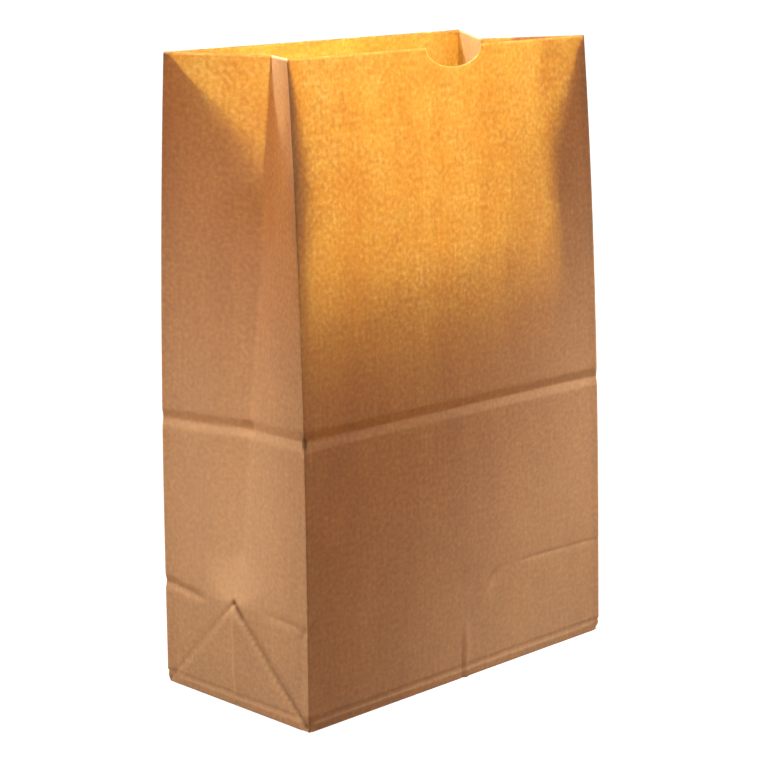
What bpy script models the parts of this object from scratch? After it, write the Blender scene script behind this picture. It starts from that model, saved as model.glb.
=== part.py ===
"""Block-bottom kraft paper bag: one sheet, folded and glued, standing open and empty.

Blender 4.5, metres, +Z up. The origin is under the middle of the base. The front panel, which has the thumb
notch, faces -Y. The gussets are the two sides that fold inwards, at -X and +X.
"""

import math

import bmesh
import bpy

# Driving dimensions, all on the outside of the paper.
BAG_WIDTH = 0.300
BAG_DEPTH = 0.150
BAG_HEIGHT = 0.450
PAPER = 0.0002

# How the open bag stands: the gussets' middle folds are pushed in at the rim and bulge a little above the base,
# where they meet the corner folds, and each side of the bag leans in towards the rim.
GUSSET_TUCK = 0.0415
GUSSET_BULGE = 0.0015
TOP_NARROWING = 0.006

# The crease across the whole bag, from when it lay folded flat.
MID_CREASE_HEIGHT = 0.200
MID_CREASE_HALF = 0.006
MID_CREASE_DEPTH = 0.0012

# Folded edges: the paper is worked soft this far from each one, and the side folds stand a little proud.
EDGE_BAND = 0.007
FOLD_RIDGE = 0.0007
BASE_TURN = 0.0009

# Creases round the base, half the depth of the bag up it.
BASE_CREASE_DEPTH = 0.0004
CORNER_CREASE_DEPTH = 0.0010
GUSSET_CENTRE_RIDGE = 0.0007

# Thumb notch: half an ellipse cut into the front panel's rim, a little right of its middle.
NOTCH_WIDTH = 0.056
NOTCH_DEPTH = 0.014
NOTCH_OFFSET = 0.0095
NOTCH_CUTTER_LENGTH = 0.030

# Glue laps: one down the back panel, and one between the two flaps under the base.
SEAM_WIDTH = 0.024
SEAM_STEP = 0.0003
FLAP_OVERLAP = 0.030
FLAP_INSET = 0.0006

# Loft stations between the named creases.
CORNER_FOLD_STEPS = 5
LOWER_STEPS = 3
UPPER_STEPS = 7

FRONT, BACK = -1, 1
HALF_DEPTH = BAG_DEPTH / 2
INNER_HALF_WIDTH = BAG_WIDTH / 2 - PAPER
BASE_LAYERS = 3
MERGE_DISTANCE = 0.00001
KRAFT = (0.53, 0.31, 0.155, 1.0)


def clear_scene():
    for thing in list(bpy.data.objects):
        bpy.data.objects.remove(thing, do_unlink=True)


def new_collection(name):
    collection = bpy.data.collections.new(name)
    bpy.context.scene.collection.children.link(collection)
    return collection


def kraft_material():
    material = bpy.data.materials.new("kraft_paper")
    material.use_nodes = True
    shader = material.node_tree.nodes["Principled BSDF"]
    shader.inputs["Base Color"].default_value = KRAFT
    shader.inputs["Roughness"].default_value = 0.72
    shader.inputs["Metallic"].default_value = 0.0
    return material


def half_width(height):
    return INNER_HALF_WIDTH - TOP_NARROWING * height / BAG_HEIGHT


def lift(height):
    """The sheet's inner face starts on top of the layers under the base."""
    return BASE_LAYERS * PAPER * (1 - height / BAG_HEIGHT)


def tuck(height):
    """How far in the gusset's middle fold lies: out at the top of the corner folds, then in towards the rim."""
    if height <= HALF_DEPTH:
        return -GUSSET_BULGE * height / HALF_DEPTH
    climbed = (height - HALF_DEPTH) / (BAG_HEIGHT - HALF_DEPTH)
    return (GUSSET_TUCK + GUSSET_BULGE) * climbed - GUSSET_BULGE


def panel_y(height):
    """Distance of the front and back panels from the middle: half a gusset keeps its width as it swings in."""
    swing = max(0.0, tuck(height))
    return math.sqrt(HALF_DEPTH**2 - swing**2) - PAPER


def fold_dip(height):
    """The middle fold leans inwards at its full length, so its points sink a little."""
    rise = height - HALF_DEPTH
    swing = tuck(height)
    return rise - math.sqrt(rise**2 - swing**2) if swing > 0.0 else 0.0


def same(a, b):
    return math.isclose(a, b, abs_tol=1e-9)


def crease_depth(place, share, height):
    """How far a point of the sheet lies behind the plane through the side folds."""
    depth = 0.0 if share == 1.0 and place == "panel" else FOLD_RIDGE
    if same(height, 0.0):
        depth += BASE_TURN
    if same(height, MID_CREASE_HEIGHT):
        depth += MID_CREASE_DEPTH
    if place == "panel" and same(height, HALF_DEPTH) and share < 1.0:
        depth += BASE_CREASE_DEPTH
    if place == "gusset" and 0.0 < height < HALF_DEPTH:
        if share == 1.0:
            depth -= GUSSET_CENTRE_RIDGE
        elif same(share * HALF_DEPTH, height):
            depth += CORNER_CREASE_DEPTH
    return depth


def panel_point(side, share, height):
    """A point of the front or back panel; share runs from its centre line, 0, to its side fold, 1."""
    depth = crease_depth("panel", share, height)
    end_set_back = BASE_TURN * share if same(height, 0.0) else 0.0
    x = half_width(height) * share - end_set_back
    return x, side * (panel_y(height) - depth), height + lift(height)


def gusset_point(side, share, height):
    """A point of half a gusset; share runs from the side fold, 0, to the gusset's middle fold, 1."""
    set_in = tuck(height) * share
    if height < HALF_DEPTH:
        set_in = -GUSSET_BULGE * min(share, height / HALF_DEPTH)
    slope = tuck(height) / HALF_DEPTH
    depth = crease_depth("gusset", share, height)
    x = half_width(height) - set_in - depth * math.sqrt(1 - slope**2)
    y = 0.0 if share == 1.0 else side * (panel_y(height) * (1 - share) - depth * slope)
    return x, y, height - fold_dip(height) * share + lift(height)


def corner_heights():
    """Heights up to the top of the corner folds; the gussets' stations use them too, so the folds run at 45 degrees."""
    reach = HALF_DEPTH - EDGE_BAND
    return [0.0] + [EDGE_BAND + reach * i / CORNER_FOLD_STEPS for i in range(CORNER_FOLD_STEPS + 1)]


def row_heights():
    crease = [MID_CREASE_HEIGHT + offset for offset in (-MID_CREASE_HALF, 0.0, MID_CREASE_HALF)]
    below = [HALF_DEPTH + (crease[0] - HALF_DEPTH) * i / LOWER_STEPS for i in range(1, LOWER_STEPS)]
    above = [crease[2] + (BAG_HEIGHT - crease[2]) * i / UPPER_STEPS for i in range(1, UPPER_STEPS + 1)]
    return corner_heights() + below + crease + above


def stations():
    """Places round half of the bag, from the middle of the front to the middle of the back."""
    soft = 1 - EDGE_BAND / INNER_HALF_WIDTH
    folds = [height / HALF_DEPTH for height in corner_heights()[1:-1]]
    lap = SEAM_WIDTH / 2 / INNER_HALF_WIDTH
    lap_step = SEAM_STEP / INNER_HALF_WIDTH
    front = [(panel_point, FRONT, share) for share in (0.0, 0.5, soft, 1.0)]
    side = [(gusset_point, FRONT, share) for share in folds + [1.0]]
    side += [(gusset_point, BACK, share) for share in reversed(folds)]
    back = [(panel_point, BACK, share) for share in (1.0, soft, 0.5, lap + lap_step, lap, 0.0)]
    return front + side + back


def split_corner_folds(grid, heights, places):
    """Each quad that a 45 degree corner fold crosses is cut along it."""
    for row, height in enumerate(heights[:-1]):
        if height >= HALF_DEPTH or same(height, HALF_DEPTH):
            break
        for column, (point, side, share) in enumerate(places):
            at_side_fold = point is panel_point and share == 1.0
            climbed = 0.0 if at_side_fold else share
            if not (at_side_fold or point is gusset_point) or not same(climbed * HALF_DEPTH, height):
                continue
            start = grid[row][column]
            end = grid[row + 1][column + (1 if side == FRONT else -1)]
            face = next(f for f in start.link_faces if end in f.verts)
            bmesh.utils.face_split(face, start, end)


def folded_sheet(collection):
    """The inner face of half of the bag, as a loft through its sections, closed by the base."""
    heights = row_heights()
    places = stations()
    mesh = bmesh.new()
    grid = [[mesh.verts.new(point(side, share, height)) for point, side, share in places] for height in heights]
    for low, high in zip(grid, grid[1:]):
        for k in range(len(places) - 1):
            mesh.faces.new((low[k], low[k + 1], high[k + 1], high[k]))
    mesh.faces.new(list(reversed(grid[0])))
    split_corner_folds(grid, heights, places)

    data = bpy.data.meshes.new("paper_bag")
    mesh.to_mesh(data)
    mesh.free()
    bag = bpy.data.objects.new("paper_bag", data)
    collection.objects.link(bag)

    sheets = bag.vertex_groups.new(name="sheets")
    columns = len(places)
    lapped = (columns - 2, columns - 1)
    for index in range(len(data.vertices)):
        sheets.add([index], 1.0 if index % columns in lapped and index >= columns else 0.5, "REPLACE")
    return bag


def thicken(bag):
    """Mirrors the half sheet and gives it its wall: one sheet, and two where the back seam is lapped."""
    mirror = bag.modifiers.new("other_half", "MIRROR")
    mirror.use_axis = (True, False, False)
    mirror.use_clip = True
    mirror.merge_threshold = MERGE_DISTANCE
    wall = bag.modifiers.new("paper", "SOLIDIFY")
    wall.thickness = 2 * PAPER
    wall.offset = 1.0
    wall.use_even_offset = True
    wall.vertex_group = "sheets"


def base_flap(name, fold_side, underside, collection):
    """A glued flap under the base: from its fold at one long side past the middle, with 45 degree ends."""
    length = HALF_DEPTH - BASE_TURN - FOLD_RIDGE - FLAP_INSET + FLAP_OVERLAP / 2
    fold_half_width = INNER_HALF_WIDTH - BASE_TURN - FOLD_RIDGE - FLAP_INSET
    fold_y = fold_side * (length - FLAP_OVERLAP / 2)
    top = (BASE_LAYERS - 0.5) * PAPER
    mesh = bmesh.new()
    bmesh.ops.create_cube(mesh, size=2.0)
    for vertex in mesh.verts:
        at_fold = vertex.co.y * fold_side > 0
        vertex.co.x *= fold_half_width if at_fold else fold_half_width - length
        vertex.co.y = fold_y if at_fold else fold_y - fold_side * length
        vertex.co.z = top if vertex.co.z > 0 else underside
    data = bpy.data.meshes.new(name)
    mesh.to_mesh(data)
    mesh.free()
    return helper(name, data, collection)


def notch_cutter(collection):
    mesh = bmesh.new()
    bmesh.ops.create_cone(
        mesh, cap_ends=True, segments=64, radius1=1.0, radius2=1.0, depth=NOTCH_CUTTER_LENGTH
    )
    for vertex in mesh.verts:
        x, y, z = vertex.co
        vertex.co = (
            NOTCH_OFFSET + x * NOTCH_WIDTH / 2,
            FRONT * panel_y(BAG_HEIGHT) - z,
            BAG_HEIGHT + y * NOTCH_DEPTH,
        )
    bmesh.ops.recalc_face_normals(mesh, faces=mesh.faces)
    data = bpy.data.meshes.new("thumb_notch_cutter")
    mesh.to_mesh(data)
    mesh.free()
    return helper("thumb_notch_cutter", data, collection)


def helper(name, data, collection):
    thing = bpy.data.objects.new(name, data)
    thing.hide_render = True
    thing.display_type = "WIRE"
    collection.objects.link(thing)
    return thing


def combine(bag, other, operation):
    step = bag.modifiers.new(other.name, "BOOLEAN")
    step.operation = operation
    step.solver = "EXACT"
    step.object = other


def main():
    clear_scene()
    parts = new_collection("paper_bag")
    helpers = new_collection("helpers")
    bag = folded_sheet(parts)
    thicken(bag)
    combine(bag, base_flap("inner_base_flap", FRONT, PAPER, helpers), "UNION")
    combine(bag, base_flap("outer_base_flap", BACK, 0.0, helpers), "UNION")
    combine(bag, notch_cutter(helpers), "DIFFERENCE")
    bag.data.materials.append(kraft_material())


main()
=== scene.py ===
# %% [markdown]
# ## A paper bag, folded from one flat sheet
# The real bag starts as a web of brown kraft paper. A machine glues it into a tube, tucks in its two sides,
# folds the lower end into a block bottom and cuts a thumb notch in the front, so the bag opens with one
# hand. This script does the same: it rules a flat sheet, folds it with one tree of Geometry Nodes, presses
# the creases into it, and gives it the thickness of paper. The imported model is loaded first, because it
# fixes every size.

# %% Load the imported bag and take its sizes
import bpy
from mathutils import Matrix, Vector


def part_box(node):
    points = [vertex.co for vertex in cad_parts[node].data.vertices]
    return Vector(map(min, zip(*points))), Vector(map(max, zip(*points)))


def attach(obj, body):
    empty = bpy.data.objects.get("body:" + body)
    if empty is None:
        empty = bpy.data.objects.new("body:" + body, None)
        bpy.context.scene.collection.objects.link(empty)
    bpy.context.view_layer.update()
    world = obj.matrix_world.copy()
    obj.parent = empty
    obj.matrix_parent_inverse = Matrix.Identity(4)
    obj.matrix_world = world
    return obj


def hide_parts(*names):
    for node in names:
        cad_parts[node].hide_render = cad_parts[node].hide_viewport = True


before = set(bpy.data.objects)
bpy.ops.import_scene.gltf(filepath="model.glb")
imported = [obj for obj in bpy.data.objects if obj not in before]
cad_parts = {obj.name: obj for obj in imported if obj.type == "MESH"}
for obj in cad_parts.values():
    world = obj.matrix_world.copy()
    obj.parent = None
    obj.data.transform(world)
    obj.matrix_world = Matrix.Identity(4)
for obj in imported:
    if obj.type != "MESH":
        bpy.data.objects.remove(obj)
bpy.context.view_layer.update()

import math

import bpy

MM = 0.001
low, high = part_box("paper_bag")
WIDTH, DEPTH, HEIGHT = (round(high[axis] - low[axis], 2) for axis in range(3))
HALF_WIDTH = WIDTH / 2
HALF_DEPTH = DEPTH / 2
BACK_FOLD = HALF_WIDTH + DEPTH
HALF_ROUND = WIDTH + DEPTH
print(f"bag {WIDTH:.3f} wide, {DEPTH:.3f} deep and {HEIGHT:.3f} tall, in metres")

# %% [markdown]
# ## Where the lines of the sheet go
# A mesh bends only where it has vertices. Paper bends hard at its folds and hardly at all between them, so
# an even grid wastes its vertices on the flat parts. Here each line's distance to the next grows away from
# a fold, like the divisions of a ruler that is stretched in the middle. Folds at 45 degrees must pass
# exactly through the grid's corners, so the rows near such a fold use the same places as the columns.

# %% Ruled lines whose spacing changes evenly
GUSSET_FOLD = round(HALF_DEPTH / MM)


def ruled_lines(*stops):
    """Places in metres from the first stop to the last. A stop is (place, spacing there), in millimetres."""
    places = [stops[0][0]]
    for (start, first_gap), (end, last_gap) in zip(stops, stops[1:]):
        count = max(1, round(2 * (end - start) / (first_gap + last_gap)))
        gaps = [first_gap + (last_gap - first_gap) * (k + 0.5) / count for k in range(count)]
        stretch = (end - start) / sum(gaps)
        for gap in gaps[:-1]:
            places.append(places[-1] + gap * stretch)
        places.append(end)
    return [place * MM for place in places]


def mirrored(places, middle):
    """The same places seen from the other side of the middle, in rising order."""
    return [2 * middle - place for place in reversed(places)]


half_gusset = ruled_lines(
    (0, 0.7), (10, 2), (GUSSET_FOLD / 2, 4), (GUSSET_FOLD - 10, 2), (GUSSET_FOLD, 0.7),
)
fold_margin = ruled_lines((0, 0.6), (6, 1.8), (30, 4.5), (90, 7))
print(f"{len(half_gusset)} lines on half a gusset, {len(fold_margin)} beside a fold")

# %% [markdown]
# ## The thumb notch
# The notch is half an ellipse that is punched through the front only. A Boolean would leave long thin
# triangles at its rim. The sheet gets columns on the ellipse instead, closer together where the curve is
# steep, and the rows under it are pushed down until the top row lies on the curve.

# %% Columns and rim of the notch
NOTCH_CENTRE = 9.5 * MM
NOTCH_HALF_WIDTH = 28 * MM
NOTCH_DEPTH = 14 * MM
NOTCH_COLUMNS = 40
NOTCH_REACH = 60 * MM

notch_columns = [
    NOTCH_CENTRE - NOTCH_HALF_WIDTH * math.cos(math.pi * k / NOTCH_COLUMNS)
    for k in range(NOTCH_COLUMNS + 1)
]


def rim_height(s):
    """Height of the sheet's upper edge at the distance s round the bag."""
    across = (s - NOTCH_CENTRE) / NOTCH_HALF_WIDTH
    return HEIGHT - NOTCH_DEPTH * math.sqrt(max(0.0, 1 - across**2))


def below_rim(s, v):
    """v, pushed down under the notch, less and less away from the rim."""
    share = max(0.0, 1 - (HEIGHT - v) / NOTCH_REACH)
    return v - (HEIGHT - rim_height(s)) * share


print(f"notch {2 * NOTCH_HALF_WIDTH / MM:.0f} mm wide, {NOTCH_DEPTH / MM:.0f} mm deep")

# %% [markdown]
# ## The flat sheet
# s runs round the bag from the middle of the front, and v runs up it. Past the side folds come the gussets,
# then the back. The two ends of the sheet overlap in a glued lap. The photograph shows no lap on the front,
# the back or the left gusset, so here it is on the right gusset. Below v = 0 the sheet goes on as the flaps
# that make the block bottom. The columns and rows are plain lists of places, so they can be counted and
# checked before there is any mesh.

# %% Rule the columns
LAP_FROM = 26 * MM
LAP_TO = 52 * MM

left_of_notch = ruled_lines((-60, 7), (-18.5, 1.5))
right_of_notch = ruled_lines((37.5, 1.5), (60, 7))
front = [-HALF_WIDTH + m for m in fold_margin[:-1]] + left_of_notch[:-1] + notch_columns
front += right_of_notch[1:] + mirrored([-HALF_WIDTH + m for m in fold_margin[:-1]], 0)
near_half = [HALF_WIDTH + t for t in half_gusset]
gusset = near_half + mirrored(near_half[:-1], HALF_WIDTH + HALF_DEPTH)
back = [BACK_FOLD + m for m in fold_margin[1:]] + ruled_lines((390, 7), (450, 7))[1:]
back += mirrored(back[:-1], HALF_ROUND)

lap = [s for s in gusset if LAP_FROM < s - HALF_WIDTH < LAP_TO]
before_lap = [s for s in gusset[1:] if s <= lap[-1]]
after_lap = [s for s in gusset if s >= lap[0]]
wrapped = [s - 2 * HALF_ROUND for s in after_lap + back]
columns = wrapped + mirrored(gusset, 0)[:-1] + front + before_lap
print(f"{len(columns)} columns, and the lap is {(lap[-1] - lap[0]) / MM:.1f} mm wide")

# %% [markdown]
# ## Rows
# The rows below v = 0 use the same places as the columns beside a side fold, and the rows up to the gusset's
# apex use those of half a gusset, so that the 45 degree folds meet the grid's corners. Higher up they are
# close together only at the crease across the bag and at the rim.

# %% Rule the rows
crease_rows = ruled_lines(
    (185, 3), (192, 0.8), (196, 1.5), (200, 0.7), (204, 1.5), (208, 0.8), (216, 3),
)
rows = [-u for u in reversed(fold_margin[1:])] + half_gusset
rows += ruled_lines((GUSSET_FOLD, 0.7), (GUSSET_FOLD + 10, 2), (135, 5), (185, 3))[1:] + crease_rows[1:]
rows += ruled_lines((216, 3), (300, 7), (420, 7), (450, 1.5))[1:]
print(f"{len(rows)} rows make {(len(columns) - 1) * (len(rows) - 1)} quads")

# %% [markdown]
# ## A mesh from the lines
# Each pair of columns and rows bounds one quad. Where a 45 degree fold runs from corner to corner of a quad,
# the quad is cut in two along it, or the fold would be blunted. The mesh stays in its flat shape here, with
# s as x and v as y, so it is easy to check.

# %% Make the flat sheet's mesh
TOUCHING = 1e-6


def on_corner_fold(s, v):
    """True on a 45 degree fold: there are two on each gusset, and one at each end of a base flap."""
    a = abs(s) if s > -HALF_ROUND else s + 2 * HALF_ROUND
    if v < 0:
        return min(abs(HALF_WIDTH - a + v), abs(a - BACK_FOLD + v)) < TOUCHING
    fold_height = HALF_DEPTH - abs(a - HALF_WIDTH - HALF_DEPTH)
    return v < HALF_DEPTH + TOUCHING and abs(fold_height - v) < TOUCHING


def sheet_faces(width, height, folds):
    """Quads between the grid's points, each cut in two where a 45 degree fold runs through its corners."""
    faces = []
    for j in range(height - 1):
        for i in range(width - 1):
            a = j * width + i
            b = a + 1
            c = b + width
            d = a + width
            if folds[a] and folds[c]:
                faces += [(a, b, c), (a, c, d)]
            elif folds[b] and folds[d]:
                faces += [(a, b, d), (b, c, d)]
            else:
                faces.append((a, b, c, d))
    return faces


flat_points = [(s, v) for v in rows for s in columns]
folds = [on_corner_fold(s, v) for s, v in flat_points]
blank = bpy.data.meshes.new("paper_bag_sheet")
blank.from_pydata(
    [(s, below_rim(s, v), 0.0) for s, v in flat_points],
    [],
    sheet_faces(len(columns), len(rows), folds),
)
sheet = bpy.data.objects.new("paper_bag_sheet", blank)
bpy.context.collection.objects.link(sheet)
print(f"flat sheet with {len(blank.vertices)} points, {sum(folds)} of them on 45 degree folds")

# %% [markdown]
# ## Writing formulas as nodes
# Every fold of the bag is a short formula of s and v. In a node tree each + or * is a Math node, and a
# formula with twenty of them is hard to place by hand. The small class below holds one field, and Python's
# own operators on it add the Math nodes, so a formula in the script reads as it would on paper.

# %% A field that turns arithmetic into Math nodes
class Field:
    """One value at each point of the sheet, or of the surface that a material shades."""

    def __init__(self, tree, socket):
        self.tree = tree
        self.socket = socket

    def math(self, operation, *others):
        node = self.tree.nodes.new("ShaderNodeMath")
        node.operation = operation
        for slot, term in zip(node.inputs, (self, *others)):
            plug(slot, term)
        return Field(self.tree, node.outputs[0])

    def __add__(self, other):
        return self.math("ADD", other)

    def __sub__(self, other):
        return self.math("SUBTRACT", other)

    def __rsub__(self, other):
        return (self * -1.0).math("ADD", other)

    def __mul__(self, other):
        return self.math("MULTIPLY", other)

    def __truediv__(self, other):
        return self.math("DIVIDE", other)

    def squared(self):
        return self * self

    def clamped(self):
        return self.math("MAXIMUM", 0.0).math("MINIMUM", 1.0)

    def eased(self):
        """From 0 to 1, slow at both ends."""
        share = self.clamped()
        return share * share * (3.0 - share * 2.0)

    __radd__ = __add__
    __rmul__ = __mul__


def plug(slot, term):
    """Links a field, or writes a plain number, into an input."""
    if isinstance(term, Field):
        term.tree.links.new(term.socket, slot)
    else:
        slot.default_value = term


def either(test, if_true, if_false):
    """One value where the test is 1, and the other where it is 0."""
    return test * if_true + (1.0 - test) * if_false


def lay_out(tree):
    """Puts the nodes in columns, so that the tree can be read in the editor."""
    for index, node in enumerate(tree.nodes):
        node.location = (220 * (index // 10), -190 * (index % 10))


print("fields ready")

# %% [markdown]
# ## One press stroke
# A crease that was pressed into the paper and opened again stays as a shallow valley with flat sides. A
# wrinkle is the same thing, shorter and softer. So one node group makes both: it measures each point's
# distance to a line between two places on the sheet, and pushes the paper in by less and less away from
# that line. It also puts out a field of wear and painted shade for the colour. Bent fibres look paler, so
# it is more than 0 where the paper was worked. Below 0 it is painted shade: where the paper is crushed
# shut and lies in shadow, its colour is made darker.

# %% The press stroke node group
def add_socket(tree, name, kind, way="INPUT"):
    return tree.interface.new_socket(name, in_out=way, socket_type=kind)


def vector_math(tree, operation, *terms):
    node = tree.nodes.new("ShaderNodeVectorMath")
    node.operation = operation
    for slot, term in zip(node.inputs, terms):
        tree.links.new(term, slot)
    return node


def press_stroke_group():
    tree = bpy.data.node_groups.new("press stroke", "GeometryNodeTree")
    for name in ("Sheet", "From", "To"):
        add_socket(tree, name, "NodeSocketVector")
    for name in ("Depth", "Half Width", "Sharpness", "Taper", "Wear And Shade", "Depth So Far", "Wear And Shade So Far"):
        add_socket(tree, name, "NodeSocketFloat")
    add_socket(tree, "Depth", "NodeSocketFloat", "OUTPUT")
    add_socket(tree, "Wear And Shade", "NodeSocketFloat", "OUTPUT")
    given = tree.nodes.new("NodeGroupInput").outputs
    result = tree.nodes.new("NodeGroupOutput").inputs

    line = vector_math(tree, "SUBTRACT", given["To"], given["From"]).outputs["Vector"]
    offset = vector_math(tree, "SUBTRACT", given["Sheet"], given["From"]).outputs["Vector"]
    reach = Field(tree, vector_math(tree, "DOT_PRODUCT", offset, line).outputs["Value"])
    length = Field(tree, vector_math(tree, "DOT_PRODUCT", line, line).outputs["Value"])
    along = (reach / length).clamped()
    nearest = vector_math(tree, "SCALE", line)
    plug(nearest.inputs["Scale"], along)
    gap = vector_math(tree, "SUBTRACT", offset, nearest.outputs["Vector"]).outputs["Vector"]
    distance = Field(tree, vector_math(tree, "LENGTH", gap).outputs["Value"])

    flank = (1.0 - distance / Field(tree, given["Half Width"])).clamped()
    profile = flank.math("POWER", Field(tree, given["Sharpness"]))
    pointed = along * (1.0 - along) * 4.0
    taper = Field(tree, given["Taper"])
    profile = profile * (1.0 - taper + taper * pointed)
    plug(result["Depth"], Field(tree, given["Depth So Far"]) + profile * Field(tree, given["Depth"]))
    # Below 0 this is painted shade: it darkens a crease that is crushed shut.
    worn_and_shaded = profile.squared() * Field(tree, given["Wear And Shade"])
    worn_and_shaded_so_far = Field(tree, given["Wear And Shade So Far"])
    excess = (worn_and_shaded - worn_and_shaded_so_far.math("MAXIMUM", 0.0)).math("MAXIMUM", 0.0)
    plug(result["Wear And Shade"], worn_and_shaded_so_far + excess + worn_and_shaded.math("MINIMUM", 0.0))
    lay_out(tree)
    return tree


press_stroke = press_stroke_group()
print(f"press stroke group with {len(press_stroke.nodes)} nodes")

# %% [markdown]
# ## The creases of this bag
# The bag lay folded flat before it was opened: its base was turned up against the panel, and the whole bag
# was folded once across. That left a crease round it at about 200 mm. Above the bottom fold runs a narrow
# band, where the base's layers stiffen the wall. Each stroke is given by from, to, depth and half width, in
# millimetres, where a depth below 0 is a ridge.

# %% A stroke, the crease across and the band above the bottom fold
FOLD = HALF_WIDTH / MM
MIDDLE = FOLD + HALF_DEPTH / MM
BACK_EDGE = BACK_FOLD / MM
BACK_MIDDLE = HALF_ROUND / MM
BAND_HEIGHT = 8
V_SHAPED = 1.0
SOFT = 1.8


# A wear above 0 makes the paper paler, as worn fibres do; below 0 it is painted shade.
def stroke(start, end, depth, half_width, sharpness=V_SHAPED, taper=0.0, wear_and_shade=0.3):
    return {
        "From": (start[0] * MM, start[1] * MM, 0.0),
        "To": (end[0] * MM, end[1] * MM, 0.0),
        "Depth": depth * MM,
        "Half Width": half_width * MM,
        "Sharpness": sharpness,
        "Taper": taper,
        "Wear And Shade": wear_and_shade,
    }


cross_crease = [
    (-BACK_MIDDLE, 196), (-BACK_EDGE, 195.5), (-MIDDLE, 196.8), (-FOLD, 201.3),
    (FOLD, 198.8), (MIDDLE, 197), (BACK_EDGE, 196), (BACK_MIDDLE, 196),
]
cross_strokes = [
    stroke(start, end, 1.35, 6.5, wear_and_shade=0.35)
    for start, end in zip(cross_crease, cross_crease[1:])
]
panel_edges = (-BACK_MIDDLE, -BACK_EDGE, -FOLD, FOLD, BACK_EDGE, BACK_MIDDLE)
strokes = [
    stroke((left + 1, BAND_HEIGHT), (right - 1, BAND_HEIGHT), 0.8, 2.2)
    for left, right in zip(panel_edges, panel_edges[1:])
]
print(f"{len(cross_strokes)} strokes for the crease across, {len(strokes)} for the band")

# %% [markdown]
# ## The folds of a gusset
# The corner folds run from each bottom corner at 45 degrees to the apex, on the middle of the gusset at half
# the bag's depth. The front one was folded harder, and painted shade darkens its line. Above the apex the
# gusset is drawn in along its middle fold, and below it the middle of the gusset stands a little proud. A
# crease from the turned up base is left at the back edge, with a little painted shade in it, and the apex
# ends in a small knot that painted shade makes dark.

# %% Strokes on both gussets
for side in (-1, 1):
    fold = side * FOLD
    middle = side * MIDDLE
    back_edge = side * BACK_EDGE
    # A wear below 0 is painted shade: it darkens the front corner fold, the back edge crease and the knot.
    strokes += [
        stroke((fold, 0), (middle, 75), 1.7, 3.2, wear_and_shade=-1.0),
        stroke((back_edge, 0), (middle, 75), 0.6, 2.6, wear_and_shade=0.4),
        stroke((middle, 24), (middle, 62), -0.7, 20, wear_and_shade=0.0),
        stroke((middle, 110), (middle, 330), 4.5, 34, wear_and_shade=0.0),
        stroke((middle, 5), (middle, 71), -0.6, 3, wear_and_shade=0.5),
        stroke((middle - side * 3, 66), (middle + side * 9, 64), -0.2, 6, SOFT),
        stroke((middle, 75), (middle - side * 7, 67), 0.8, 4.5, wear_and_shade=-1.6),
        stroke((back_edge, 76), (back_edge - side * 38, 72.6), 1.2, 5, taper=0.2, wear_and_shade=-0.4),
        stroke((fold + side * 4, 72), (middle - side * 30, 75), 0.6, 6, SOFT, taper=0.6),
    ]
print(f"{len(strokes)} strokes so far")

# %% [markdown]
# ## The wrinkles of this one bag
# The small wrinkles are where stiff folds cross and the paper had nowhere to go. They belong to this bag and
# not to every bag, so their places are read from the photograph one by one.

# %% Wrinkles on the front, down the left front fold and at the corners
# A wear below 0 is painted shade, which darkens a wrinkle or fold line where it lies in shadow.
strokes += [
    stroke((63, 75), (148, 72.5), 0.35, 3.5, SOFT),
    stroke((-148, 75.4), (-141, 83.5), -0.6, 3, taper=0.6),
    stroke((-151, 74), (-158, 65), 0.9, 3.5, taper=0.5, wear_and_shade=-1.0),
    stroke((-151, 203), (-150.5, 198), 1.8, 6, wear_and_shade=-1.6),
    stroke((-149.6, 84), (-149.6, 372), 0.2, 2.2, wear_and_shade=-1.5),
    stroke((-150, 138), (-149, 130), 0.8, 4, SOFT, wear_and_shade=0.5),
    stroke((4.6, 39), (4.2, 0), -1.3, 3.5, taper=0.3, wear_and_shade=0.5),
    stroke((0.8, 30), (1.2, 0), 0.6, 2.6, taper=0.2, wear_and_shade=-1.0),
    stroke((15, 38), (14.8, 20), -0.4, 2.5, taper=0.6),
    stroke((1.9, 84), (-2.9, 59), 1.1, 6, SOFT, taper=0.8),
    stroke((37.6, 75), (28.9, 60), 1.2, 6, SOFT, taper=0.8),
    stroke((-59.5, 116), (-59.5, 73), 0.25, 5, SOFT, taper=0.7),
    stroke((-158.5, 22), (-158.5, 69), 0.5, 4.5, SOFT, taper=0.4, wear_and_shade=-0.5),
    stroke((-296, 40), (-289, 27), 0.6, 4, SOFT, taper=0.4),
    stroke((-289, 27), (-292, 9), 0.6, 4, SOFT, taper=0.4),
    stroke((-151, 6), (-153.5, 3), 1.0, 5, wear_and_shade=-2.0),
    stroke((-148, 5), (-146, 3), 0.6, 3, wear_and_shade=0.5),
    stroke((-293, 5), (-290, 6), 0.4, 3, wear_and_shade=-1.4),
    stroke((147, 5), (145, 4), 0.6, 3, wear_and_shade=-0.8),
]
print(f"{len(cross_strokes) + len(strokes)} creases and wrinkles")

# %% [markdown]
# ## Folding the sheet
# A point of the sheet lies on the front, on a gusset or on the back, and it goes up the wall or into the
# base. That sounds like six cases, but two lengths cover them all: m, how far the point is from the side
# fold across a panel (0 on a gusset), and u, how far it is below the bottom fold (0 on the wall). The larger
# of the two draws the point in from the side of the bag, and the smaller draws it in from the front or back.
# The turned corners of the flaps, where the paper lies doubled at 45 degrees, come out of that by
# themselves. The gusset's middle fold is pushed in more towards the rim. Half a gusset can't change its
# width, so the panels come closer there.

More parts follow.
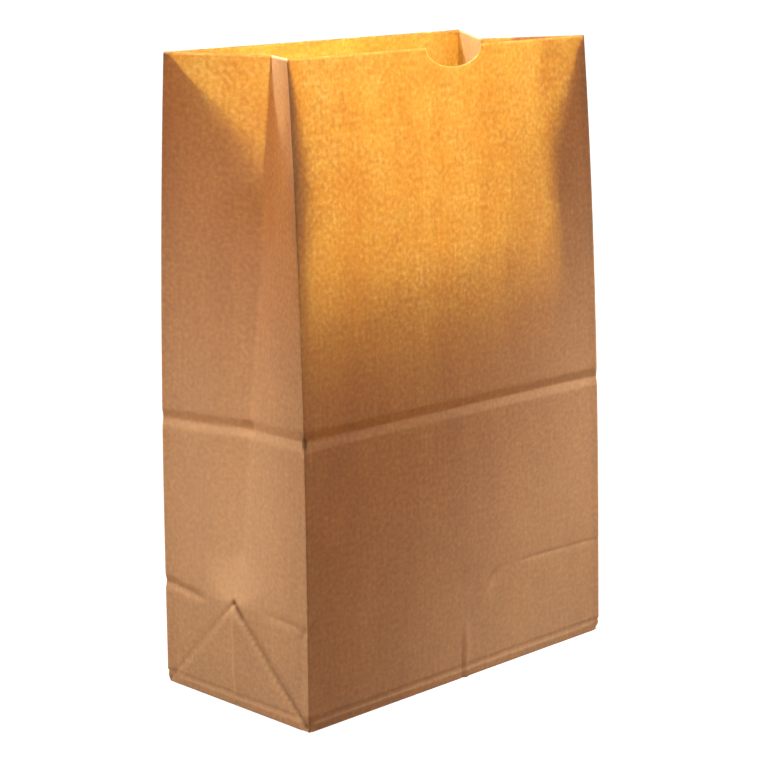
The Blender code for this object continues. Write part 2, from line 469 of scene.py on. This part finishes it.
# %% The sizes of the fold, and where each point lies
TREE_SIZES = {
    "Width": WIDTH,
    "Depth": DEPTH,
    "Height": HEIGHT,
    "Gusset Tuck": 41.5 * MM,
    "Gusset Bulge": 1.5 * MM,
    "Top Narrowing": 6 * MM,
    "Bottom Turn": 1.0 * MM,
    "Bottom Band": 7.5 * MM,
    "Fold Ridge": 0.7 * MM,
    "Paper": 0.2 * MM,
    "Layer": 0.23 * MM,
    "Cockle": 0.45 * MM,
    "Cockle Seed": 3.0,
}


def gusset_tuck(size, up, share):
    """How far the gusset is pushed in at a point, and at its middle fold."""
    half_depth = size["Depth"] / 2.0
    climbed = ((up - half_depth) / (size["Height"] - half_depth)).math("MAXIMUM", 0.0)
    bulge = size["Gusset Bulge"]
    full = (size["Gusset Tuck"] + bulge) * climbed
    at_point = full * share - bulge * (up / half_depth).math("MINIMUM", share)
    at_middle = (full - bulge * (up / half_depth).clamped()).math("MAXIMUM", 0.0)
    return at_point, at_middle


def folded_position(size, s, v):
    """Where a point lies in the folded bag: x, y, z, its distance to a side fold, m and u."""
    half_width = size["Width"] / 2.0
    half_depth = size["Depth"] / 2.0
    a = s.math("ABSOLUTE")
    up = v.math("MAXIMUM", 0.0)
    u = (v * -1.0).math("MAXIMUM", 0.0)

    past_fold = (a - half_width - half_depth).math("ABSOLUTE")
    share = (1.0 - past_fold / half_depth).clamped()
    across = (a / half_width).math("MINIMUM", (size["Width"] + size["Depth"] - a) / half_width)
    across = across.math("MINIMUM", 1.0)
    tucked, swing = gusset_tuck(size, up, share)
    rise = (up - half_depth).math("MAXIMUM", 0.0)
    dip = rise - (rise.squared() - swing.squared()).math("MAXIMUM", 0.0).math("SQRT")

    turn = size["Bottom Turn"] * (1.0 - up / size["Bottom Band"]).clamped()
    side_x = half_width - size["Top Narrowing"] * up / size["Height"] - turn
    side_y = (half_depth.squared() - swing.squared()).math("SQRT") - turn
    m = (1.0 - across) * side_x

    x = s.math("SIGN") * (side_x - m.math("MAXIMUM", u) - tucked)
    y = (a - half_width - half_depth).math("SIGN") * (side_y * (1.0 - share) - m.math("MINIMUM", u))
    z = up - dip * share
    to_side_fold = m + (half_depth - past_fold).math("MAXIMUM", 0.0)
    return x, y, z, to_side_fold, m, u


print(f"{len(TREE_SIZES)} sizes for the tree")

# %% [markdown]
# ## Layers of the base, and the lap
# Folded paper lies in layers, and layers that share a height flicker in a render. From the floor up the base
# has the back flap, its turned corners, the front flap, its corners, and the gussets. Each gets its own
# height, one sheet and a little air above the last. In the lap, the end of the sheet that lies inside moves
# in by one layer in the same way, over a short ramp, so that it lies behind the end that shows.

# %% Height of each layer
LAP_RISE = 4 * MM
AT_PANEL_EDGE = 1e-5


def layer_height(size, s, m, u):
    """How high each layer of the base lies above the floor."""
    a = s.math("ABSOLUTE")
    past_front = a.math("GREATER_THAN", HALF_WIDTH + AT_PANEL_EDGE)
    on_gusset = past_front * a.math("LESS_THAN", BACK_FOLD - AT_PANEL_EDGE)
    on_back = a.math("GREATER_THAN", HALF_WIDTH + HALF_DEPTH)
    turned = m.math("LESS_THAN", u)
    layer = size["Layer"]
    of_back = turned * (layer + size["Paper"])
    of_front = layer * 2.0 + turned * (layer + size["Paper"])
    return either(on_gusset, layer * 4.0, either(on_back, of_back, of_front))


def lap_ramp(along):
    """1 on the end of the sheet that lies inside the glued lap, and 0 on the rest of it."""
    lap_end = lap[-1] - 2 * HALF_ROUND
    return ((lap_end + LAP_RISE - along) / LAP_RISE).clamped()


print(f"base {4 * TREE_SIZES['Layer'] / MM:.2f} mm up to its highest layer")

# %% [markdown]
# ## Steps that every geometry tree needs
# A tree is a chain: geometry goes in, each node changes it, and the last one hands it on. Four steps come
# back again and again. They join fields to a vector, keep a field on the mesh under a name, move the points,
# and add a smooth random field. A kept field is what lets the material read the flat sheet's coordinates
# after the sheet is folded.

# %% Join, store, move and scatter
def joined(tree, *terms):
    """A vector from two or three fields."""
    node = tree.nodes.new("ShaderNodeCombineXYZ")
    for slot, term in zip(node.inputs, terms):
        plug(slot, term)
    return node.outputs[0]


def stored(tree, geometry, name, kind, value):
    """Keeps a field on the mesh, under a name that later nodes and the materials can read."""
    node = tree.nodes.new("GeometryNodeStoreNamedAttribute")
    node.data_type = kind
    node.inputs["Name"].default_value = name
    tree.links.new(geometry, node.inputs["Geometry"])
    tree.links.new(value, node.inputs["Value"])
    return node.outputs[0]


def moved(tree, geometry, way, target):
    """Moves each point to a Position or by an Offset, given as a vector."""
    node = tree.nodes.new("GeometryNodeSetPosition")
    tree.links.new(geometry, node.inputs["Geometry"])
    tree.links.new(target, node.inputs[way])
    return node.outputs[0]


def noise_field(tree, vector, scale, seed):
    """A smooth random field from -1 to 1, the same in each run."""
    node = tree.nodes.new("ShaderNodeTexNoise")
    node.noise_dimensions = "4D"
    node.inputs["Scale"].default_value = scale
    node.inputs["Detail"].default_value = 1.0
    tree.links.new(vector, node.inputs["Vector"])
    plug(node.inputs["W"], seed)
    return Field(tree, node.outputs[0]) * 2.0 - 1.0


print("tree steps ready")

# %% [markdown]
# ## First half of the tree: the fold
# The tree first keeps each point's flat place, then moves the point to its folded place. The heights of the
# layers jump from one panel to the next. A blur over the mesh turns each jump into a short slope, as stiff
# paper does by itself. The lift fades out on the wall a little above the base.

# %% Read the flat sheet and fold it
LIFT_FADES = 30 * MM
SLOPE_BLUR = 2


def read_sheet(tree, geometry):
    """Keeps each point's flat place under the name sheet. Reads it back as a vector and two fields."""
    place = tree.nodes.new("GeometryNodeInputPosition").outputs[0]
    geometry = stored(tree, geometry, "sheet", "FLOAT_VECTOR", place)
    kept = tree.nodes.new("GeometryNodeInputNamedAttribute")
    kept.data_type = "FLOAT_VECTOR"
    kept.inputs["Name"].default_value = "sheet"
    flat_place = kept.outputs["Attribute"]
    parts = tree.nodes.new("ShaderNodeSeparateXYZ")
    tree.links.new(flat_place, parts.inputs[0])
    return geometry, flat_place, Field(tree, parts.outputs["X"]), Field(tree, parts.outputs["Y"])


def folded_place(tree, size, along, s, v):
    """The folded place as a vector, with the base's layers and the lap, and the distance to a side fold."""
    x, y, z, to_side_fold, m, u = folded_position(size, s, v)
    blur = tree.nodes.new("GeometryNodeBlurAttribute")
    blur.data_type = "FLOAT"
    blur.inputs["Iterations"].default_value = SLOPE_BLUR
    plug(blur.inputs["Value"], layer_height(size, s, m, u))
    near_base = (1.0 - v / LIFT_FADES).clamped()
    z = z + Field(tree, blur.outputs["Value"]) * near_base
    inner_end = lap_ramp(along) * size["Layer"]
    x = x - inner_end * v.math("GREATER_THAN", -TOUCHING)
    z = z + inner_end * v.math("LESS_THAN", 0.0)
    return joined(tree, x, y, z), to_side_fold


print("fold ready")

# %% [markdown]
# ## Second half of the tree: creases and cockle
# The strokes are chained, so each one adds to the depth and to the wear and painted shade so far. The crease
# across runs out towards the side folds, where the paper is stiff. Paper is never quite flat between its
# folds either. It cockles in waves some centimetres long with finer ripples on them, and only where it is
# loose, away from the folds.
# All of that is pushed in along the surface's normal, because a crease on the gusset points another way than
# one on the front.

# %% Press the creases and let the paper cockle
FOLD_WEAR = 0.5
FOLD_WEAR_REACH = 1.2 * MM
CREASE_AT_FOLD = 0.25
CREASE_RUN_OUT = 8 * MM
RIDGE_STARTS = 12 * MM
LOOSE_FROM = 30 * MM
WAVES_PER_METRE = 13.0
RIPPLES_PER_METRE = 48.0
RIPPLE_SHARE = 0.2


def pressed(tree, place, listed, depth, wear_and_shade):
    """Adds one press stroke node per stroke listed. Each passes its depth, wear and painted shade to the
    next.
    """
    for values in listed:
        node = tree.nodes.new("GeometryNodeGroup")
        node.node_tree = press_stroke
        tree.links.new(place, node.inputs["Sheet"])
        for name, value in values.items():
            node.inputs[name].default_value = value
        plug(node.inputs["Depth So Far"], depth)
        plug(node.inputs["Wear And Shade So Far"], wear_and_shade)
        depth = Field(tree, node.outputs["Depth"])
        wear_and_shade = Field(tree, node.outputs["Wear And Shade"])
    return depth, wear_and_shade


def creased(tree, size, s, v, to_side_fold):
    """How deep each point is pressed in, and its wear and painted shade there."""
    place = joined(tree, s, v)
    fold_wear_and_shade = (1.0 - to_side_fold / FOLD_WEAR_REACH).clamped() * FOLD_WEAR
    crossed, wear_and_shade = pressed(tree, place, cross_strokes, s * 0.0, fold_wear_and_shade)
    run_out = (to_side_fold / CREASE_RUN_OUT).eased()
    ridge = size["Fold Ridge"] * (to_side_fold / size["Bottom Band"]).eased() * (v / RIDGE_STARTS).clamped()
    depth = crossed * (CREASE_AT_FOLD + (1.0 - CREASE_AT_FOLD) * run_out) + ridge
    return pressed(tree, place, strokes, depth, wear_and_shade)


def cockled(tree, size, flat_place, v, to_side_fold):
    """The waves of loose paper, as a depth."""
    loose = (to_side_fold / LOOSE_FROM).eased() * (v / LOOSE_FROM).eased()
    waves = noise_field(tree, flat_place, WAVES_PER_METRE, size["Cockle Seed"])
    ripples = noise_field(tree, flat_place, RIPPLES_PER_METRE, size["Cockle Seed"]) * RIPPLE_SHARE
    return (waves + ripples) * size["Cockle"] * loose


def pushed_in(tree, depth):
    """The way inwards along the surface's normal, as long as the depth."""
    normal = tree.nodes.new("GeometryNodeInputNormal").outputs[0]
    push = vector_math(tree, "SCALE", normal)
    plug(push.inputs["Scale"], depth * -1.0)
    return push.outputs["Vector"]


print("creases and cockle ready")

# %% [markdown]
# ## The whole tree
# The tree's inputs are the named sizes, so a looser gusset or a wavier paper is one number in the modifier.
# At its end the faces are shaded smooth, any instances are made real, and the paper's material is set.

# %% Put the tree together
def folding_tree(paper):
    tree = bpy.data.node_groups.new("fold paper bag", "GeometryNodeTree")
    add_socket(tree, "Geometry", "NodeSocketGeometry")
    for name, value in TREE_SIZES.items():
        add_socket(tree, name, "NodeSocketFloat").default_value = value
    add_socket(tree, "Geometry", "NodeSocketGeometry", "OUTPUT")
    given = tree.nodes.new("NodeGroupInput").outputs
    size = {name: Field(tree, given[name]) for name in TREE_SIZES}

    geometry, flat_place, along, v = read_sheet(tree, given["Geometry"])
    s = along + along.math("LESS_THAN", -HALF_ROUND) * (2 * HALF_ROUND)
    folded_to, to_side_fold = folded_place(tree, size, along, s, v)
    geometry = moved(tree, geometry, "Position", folded_to)

    depth, wear_and_shade = creased(tree, size, s, v, to_side_fold)
    depth = depth * v.math("GREATER_THAN", -TOUCHING) + cockled(tree, size, flat_place, v, to_side_fold)
    geometry = moved(tree, geometry, "Offset", pushed_in(tree, depth))
    # The wear and the painted shade of crushed creases are kept for the material.
    geometry = stored(tree, geometry, "fold_wear_and_shade", "FLOAT", wear_and_shade.socket)

    smooth = tree.nodes.new("GeometryNodeSetShadeSmooth")
    tree.links.new(geometry, smooth.inputs["Geometry"])
    realize = tree.nodes.new("GeometryNodeRealizeInstances")
    tree.links.new(smooth.outputs[0], realize.inputs[0])
    paint = tree.nodes.new("GeometryNodeSetMaterial")
    paint.inputs["Material"].default_value = paper
    tree.links.new(realize.outputs[0], paint.inputs["Geometry"])
    tree.links.new(paint.outputs[0], tree.nodes.new("NodeGroupOutput").inputs[0])
    lay_out(tree)
    return tree


print("folding tree ready")

# %% [markdown]
# ## Kraft pulp
# Unbleached kraft is long brown fibres pressed into a thin felt. Three things show: clouds a few millimetres
# wide where the pulp lies thicker or thinner, faint streaks along the direction in which the web ran, and
# single dark splinters of wood. Light that comes through the paper shows the clouds much more than light
# that falls on it. The cut edge shows the same pulp, so the pattern is a node group that both materials use.
# It reads the sheet's own coordinates, because the clouds were in the web before the bag was folded. It
# also makes the paper paler where it is worn, and darker with painted shade where a crease is crushed shut.

# %% The kraft pulp node group
EVEN = (1.0, 1.0, 1.0)
SPLINTERS_PER_METRE = 90.0
SPLINTER_SIZE = 0.035
SPLINTER_SHADE = 0.35
PULP_SHADE = 0.11
# How much wear and painted shade change the tone, and the darkest painted shade.
WEAR_AND_PAINTED_SHADE = 0.30
DARKEST_PAINTED_SHADE = -2.0


def pulp_noise(tree, vector, stretch, per_metre, detail):
    """A noise around 0, drawn out along the web where its stretch is below 1."""
    mapping = tree.nodes.new("ShaderNodeMapping")
    mapping.inputs["Scale"].default_value = stretch
    tree.links.new(vector, mapping.inputs["Vector"])
    node = tree.nodes.new("ShaderNodeTexNoise")
    node.inputs["Scale"].default_value = per_metre
    node.inputs["Detail"].default_value = detail
    tree.links.new(mapping.outputs[0], node.inputs["Vector"])
    return Field(tree, node.outputs[0]) - 0.5


def kraft_pulp_group():
    tree = bpy.data.node_groups.new("kraft pulp", "ShaderNodeTree")
    add_socket(tree, "Sheet", "NodeSocketVector")
    for name in ("Wear And Shade", "Clouds", "Streaks"):
        add_socket(tree, name, "NodeSocketFloat")
    for name in ("Tone", "Thinness", "Height"):
        add_socket(tree, name, "NodeSocketFloat", "OUTPUT")
    given = tree.nodes.new("NodeGroupInput").outputs
    result = tree.nodes.new("NodeGroupOutput").inputs

    clouds = pulp_noise(tree, given["Sheet"], EVEN, 310.0, 3.0)
    drifts = pulp_noise(tree, given["Sheet"], EVEN, 45.0, 2.0)
    bands = pulp_noise(tree, given["Sheet"], (1.0, 0.12, 1.0), 26.0, 1.0)
    streaks = pulp_noise(tree, given["Sheet"], (1.0, 0.06, 1.0), 420.0, 2.0)
    fibres = pulp_noise(tree, given["Sheet"], (1.0, 0.18, 1.0), 2600.0, 2.0)
    spots = tree.nodes.new("ShaderNodeTexVoronoi")
    spots.inputs["Scale"].default_value = SPLINTERS_PER_METRE
    tree.links.new(given["Sheet"], spots.inputs["Vector"])
    splinters = (1.0 - Field(tree, spots.outputs["Distance"]) / SPLINTER_SIZE).clamped()

    thinness = clouds * Field(tree, given["Clouds"]) + streaks * Field(tree, given["Streaks"])
    thinness = thinness + drifts * 0.35 + fibres * 0.25 + bands * 0.5
    # Wear above 0 makes the paper paler; below 0 it is painted shade in crushed creases.
    worn_and_shaded = Field(tree, given["Wear And Shade"]).math("MAXIMUM", DARKEST_PAINTED_SHADE)
    tone = 1.0 + thinness * PULP_SHADE - splinters * SPLINTER_SHADE + worn_and_shaded * WEAR_AND_PAINTED_SHADE
    plug(result["Tone"], tone)
    plug(result["Thinness"], thinness)
    plug(result["Height"], clouds * 0.5 + fibres * 0.6 + streaks * 0.3)
    lay_out(tree)
    return tree


kraft_pulp = kraft_pulp_group()
print(f"kraft pulp group with {len(kraft_pulp.nodes)} nodes")

# %% [markdown]
# ## What both finishes share
# The face of the paper and its cut edge are both matt, with a trace of shine from the rollers that pressed
# them. Both show the pulp as lighter and darker spots, as a change in roughness, and as a fine relief.

# %% A Principled BSDF that shows the pulp
MATT = 0.62
ROLLER_SHINE = 0.12
SPECULAR = 0.25
RELIEF_STRENGTH = 0.5


def tinted(tree, colour, amount):
    """A colour made lighter or darker by a field around 1."""
    node = tree.nodes.new("ShaderNodeVectorMath")
    node.operation = "SCALE"
    node.inputs[0].default_value = colour
    plug(node.inputs["Scale"], amount)
    return node.outputs["Vector"]


def attribute(tree, name):
    node = tree.nodes.new("ShaderNodeAttribute")
    node.attribute_name = name
    return node


def pulp_in(tree, clouds, streaks):
    """The kraft pulp group, reading this piece's own sheet coordinates, and its wear and painted shade."""
    pulp = tree.nodes.new("ShaderNodeGroup")
    pulp.node_tree = kraft_pulp
    pulp.inputs["Clouds"].default_value = clouds
    pulp.inputs["Streaks"].default_value = streaks
    tree.links.new(attribute(tree, "sheet").outputs["Vector"], pulp.inputs["Sheet"])
    tree.links.new(attribute(tree, "fold_wear_and_shade").outputs["Fac"], pulp.inputs["Wear And Shade"])
    return {name: Field(tree, pulp.outputs[name]) for name in ("Tone", "Thinness", "Height")}


def paper_shader(name, colour, clouds, streaks, relief):
    """A new material with a Principled BSDF that shows the pulp. Returns it, its tree and the pulp."""
    material = bpy.data.materials.new(name)
    material.use_nodes = True
    tree = material.node_tree
    shader = tree.nodes["Principled BSDF"]
    pulp = pulp_in(tree, clouds, streaks)
    tree.links.new(tinted(tree, colour, pulp["Tone"]), shader.inputs["Base Color"])
    plug(shader.inputs["Roughness"], MATT - pulp["Thinness"] * ROLLER_SHINE)
    shader.inputs["Specular IOR Level"].default_value = SPECULAR
    bump = tree.nodes.new("ShaderNodeBump")
    bump.inputs["Distance"].default_value = relief
    bump.inputs["Strength"].default_value = RELIEF_STRENGTH
    plug(bump.inputs["Height"], pulp["Height"])
    tree.links.new(bump.outputs[0], shader.inputs["Normal"])
    return material, tree, pulp


print("paper shader ready")

# %% [markdown]
# ## The two finishes
# Thin paper lets light through. The shader mixes a Principled BSDF, for light that falls on the side that we
# see, with a Translucent BSDF, for light from the other side, which comes through yellower because brown
# pulp takes out the blue. Twice the pulp filters twice, so the colour that passes is raised to a power, and
# thin spots pass more light. The sheet is a real wall with two faces. A ray that has entered it meets the
# other face from behind, and there the shader only passes it on, or the light would be filtered twice. The
# cut edge is paler, because a blade leaves torn fibre ends, and light runs out of it.

# %% Kraft paper and its cut edge
KRAFT = (0.70, 0.43, 0.225)
THROUGH_KRAFT = (0.60, 0.285, 0.020)
CUT_EDGE = (0.80, 0.58, 0.36)
WHITE = (1.0, 1.0, 1.0, 1.0)
SHARE_THROUGH = 0.34
THIN_SPOTS = 1.3


def filtered(tree, colour, thinness):
    """The colour of light after the paper. Where the pulp is thin it is brighter and less brown."""
    join = tree.nodes.new("ShaderNodeCombineXYZ")
    for slot, share in zip(join.inputs, colour):
        power = tree.nodes.new("ShaderNodeMath")
        power.operation = "POWER"
        power.inputs[0].default_value = share
        plug(power.inputs[1], 1.0 - thinness)
        tree.links.new(power.outputs[0], slot)
    return join.outputs[0]


def kraft_paper():
    material, tree, pulp = paper_shader("kraft_paper", KRAFT, 1.5, 0.4, 0.06 * MM)
    inside_wall = Field(tree, tree.nodes.new("ShaderNodeNewGeometry").outputs["Backfacing"])
    colour = tree.nodes.new("ShaderNodeMix")
    colour.data_type = "RGBA"
    plug(colour.inputs[0], inside_wall)
    tree.links.new(filtered(tree, THROUGH_KRAFT, pulp["Thinness"] * THIN_SPOTS), colour.inputs[6])
    colour.inputs[7].default_value = WHITE
    through = tree.nodes.new("ShaderNodeBsdfTranslucent")
    tree.links.new(colour.outputs[2], through.inputs["Color"])
    mix = tree.nodes.new("ShaderNodeMixShader")
    plug(mix.inputs[0], inside_wall.math("MAXIMUM", SHARE_THROUGH))
    tree.links.new(tree.nodes["Principled BSDF"].outputs[0], mix.inputs[1])
    tree.links.new(through.outputs[0], mix.inputs[2])
    tree.links.new(mix.outputs[0], tree.nodes["Material Output"].inputs["Surface"])
    lay_out(tree)
    return material


def kraft_cut_edge():
    material, tree, _ = paper_shader("kraft_cut_edge", CUT_EDGE, 0.4, 0.2, 0.02 * MM)
    lay_out(tree)
    return material


kraft = kraft_paper()
cut_edge = kraft_cut_edge()
print(f"materials {kraft.name} and {cut_edge.name}")

# %% [markdown]
# ## Fold it
# The modifier's inputs are set by the socket's identifier, which never changes, before the sheet is
# evaluated for the first time. Solidify then gives the folded surface its wall, inwards, so that the outer
# face stays where the folds put it. Its rim offset gives the strip along each cut edge the second material.
# The evaluated result becomes a plain mesh, and the flat sheet with its modifiers is removed.

# %% Fold the sheet and give it its thickness
for material in (kraft, cut_edge):
    blank.materials.append(material)
fold = sheet.modifiers.new("fold", "NODES")
fold.node_group = folding_tree(kraft)
for item in fold.node_group.interface.items_tree:
    if item.in_out == "INPUT" and item.name in TREE_SIZES:
        fold[item.identifier] = TREE_SIZES[item.name]

wall = sheet.modifiers.new("paper", "SOLIDIFY")
wall.thickness = TREE_SIZES["Paper"]
wall.offset = -1.0
wall.material_offset_rim = 1

evaluated = sheet.evaluated_get(bpy.context.evaluated_depsgraph_get())
folded = bpy.data.meshes.new_from_object(evaluated)
bpy.data.objects.remove(sheet)
folded.name = "folded_paper_bag"
bag = bpy.data.objects.new("folded_paper_bag", folded)
bpy.context.collection.objects.link(bag)
triangles = sum(len(face.vertices) - 2 for face in folded.polygons)
print(f"folded bag with {triangles} triangles and materials {[m.name for m in folded.materials]}")

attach(bag, "root")
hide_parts("paper_bag")

# %% [markdown]
# ## The camera
# The camera stands left of the bag's front corner, a little above the rim, and looks down at it. Its place
# and its lens were worked out from the bag's corners and edges in the photograph, with the sizes above.

# %% Set the camera
from mathutils import Matrix, Vector

PICTURE = 760
FOCAL_PIXELS = 2204.7
SENSOR = 36.0
CAMERA_PLACE = (-1.0828, -1.1165, 0.5501)
CAMERA_YAW = math.radians(-43.965)
CAMERA_PITCH = math.radians(-12.373)
CAMERA_ROLL = math.radians(0.878)


def turn(axis, angle):
    return Matrix.Rotation(angle, 4, axis)


lens = bpy.data.cameras.new("camera")
lens.sensor_width = SENSOR
lens.lens = FOCAL_PIXELS / PICTURE * SENSOR
camera = bpy.data.objects.new("camera", lens)
bpy.context.collection.objects.link(camera)
camera.matrix_world = (
    Matrix.Translation(CAMERA_PLACE)
    @ turn("Z", CAMERA_YAW)
    @ turn("X", CAMERA_PITCH)
    @ turn("Y", CAMERA_ROLL)
    @ turn("X", math.radians(90))
)
bpy.context.scene.camera = camera
print(f"lens {lens.lens:.1f} mm")

# %% [markdown]
# ## Floor and backdrop
# The floor is pale and wide enough to fill the picture. It shows itself to the camera brighter than it
# lights the bag, and so does the world behind it. So the background is white, the shadow stays, and no extra
# light falls on the paper. The Light Path node tells the two kinds of ray apart.

# %% Floor and world
FLOOR_HALF = 40.0
FLOOR_SEEN = 0.30
FLOOR_BOUNCE = 0.08
FLOOR_GLOW = 0.90
SKY_LIGHT = 0.04


def seen_directly(tree):
    """1 for what the camera, a reflection or a look through glass shows, 0 for light that bounces off."""
    path = tree.nodes.new("ShaderNodeLightPath").outputs
    seen = Field(tree, path["Is Camera Ray"])
    for name in ("Is Glossy Ray", "Is Transmission Ray"):
        seen = seen.math("MAXIMUM", Field(tree, path[name]))
    return seen


def floor_material():
    material = bpy.data.materials.new("pale_floor")
    material.use_nodes = True
    tree = material.node_tree
    tree.nodes.remove(tree.nodes["Principled BSDF"])
    matt = tree.nodes.new("ShaderNodeBsdfDiffuse")
    seen = seen_directly(tree)
    plug(matt.inputs["Color"], either(seen, FLOOR_SEEN, FLOOR_BOUNCE))
    glow = tree.nodes.new("ShaderNodeEmission")
    plug(glow.inputs["Strength"], seen * FLOOR_GLOW)
    both = tree.nodes.new("ShaderNodeAddShader")
    tree.links.new(matt.outputs[0], both.inputs[0])
    tree.links.new(glow.outputs[0], both.inputs[1])
    tree.links.new(both.outputs[0], tree.nodes["Material Output"].inputs["Surface"])
    lay_out(tree)
    return material


def stage_floor():
    mesh = bpy.data.meshes.new("floor")
    corners = [(-1, -1), (1, -1), (1, 1), (-1, 1)]
    mesh.from_pydata([(x * FLOOR_HALF, y * FLOOR_HALF, 0.0) for x, y in corners], [], [(0, 1, 2, 3)])
    mesh.materials.append(floor_material())
    floor = bpy.data.objects.new("floor", mesh)
    bpy.context.collection.objects.link(floor)


def set_world():
    world = bpy.data.worlds.new("studio")
    world.use_nodes = True
    tree = world.node_tree
    background = tree.nodes["Background"]
    background.inputs["Color"].default_value = WHITE
    plug(background.inputs["Strength"], either(seen_directly(tree), 1.0, SKY_LIGHT))
    bpy.context.scene.world = world


stage_floor()
set_world()
print("floor and world ready")

# %% [markdown]
# ## The lamps
# In the photograph the upper front glows, because a lamp behind the bag shines over the back rim on the
# inside of the front. Here that lamp has a narrow spread, like a grid on a real one, so it lights little
# else. Two more lamps stand high at the sides and fill the lower part. The last is a wide sun from above,
# as from a soft box over the table. Each crease is dark on its upper flank and pale on its lower one, and
# that takes light from above, so no lamp stands low.

# %% Lamps
WARM = (1.0, 0.93, 0.82)
NEUTRAL = (1.0, 0.98, 0.95)


def add_lamp(name, kind, place, target, power, colour, **settings):
    """A lamp that faces its target. The camera and the other views don't see the lamp itself."""
    data = bpy.data.lights.new(name, kind)
    data.energy = power
    data.color = colour
    for setting, value in settings.items():
        setattr(data, setting, value)
    lamp = bpy.data.objects.new(name, data)
    lamp.visible_camera = False
    facing = (Vector(place) - Vector(target)).to_track_quat("Z", "Y").to_matrix().to_4x4()
    lamp.matrix_world = Matrix.Translation(place) @ facing
    bpy.context.collection.objects.link(lamp)


add_lamp(
    "lamp_behind", "AREA", (0.10, 0.45, 1.02), (-0.01, -0.05, 0.53), 3.1, WARM,
    shape="RECTANGLE", size=0.14, size_y=0.24, spread=math.radians(40),
)
add_lamp(
    "lamp_left", "AREA", (-0.72, 0.30, 0.85), (-0.15, 0.0, 0.08), 0.31, NEUTRAL,
    size=0.25, spread=math.radians(27),
)
add_lamp(
    "lamp_right", "AREA", (0.50, -0.40, 0.75), (0.11, -0.07, 0.06), 0.23, NEUTRAL,
    size=0.20, spread=math.radians(23),
)
add_lamp(
    "skylight", "SUN", (-0.12, -0.17, 1.0), (0.0, 0.0, 0.0), 2.4, NEUTRAL,
    angle=math.radians(20),
)
bpy.context.scene.view_settings.view_transform = "Standard"
print("four soft lamps")
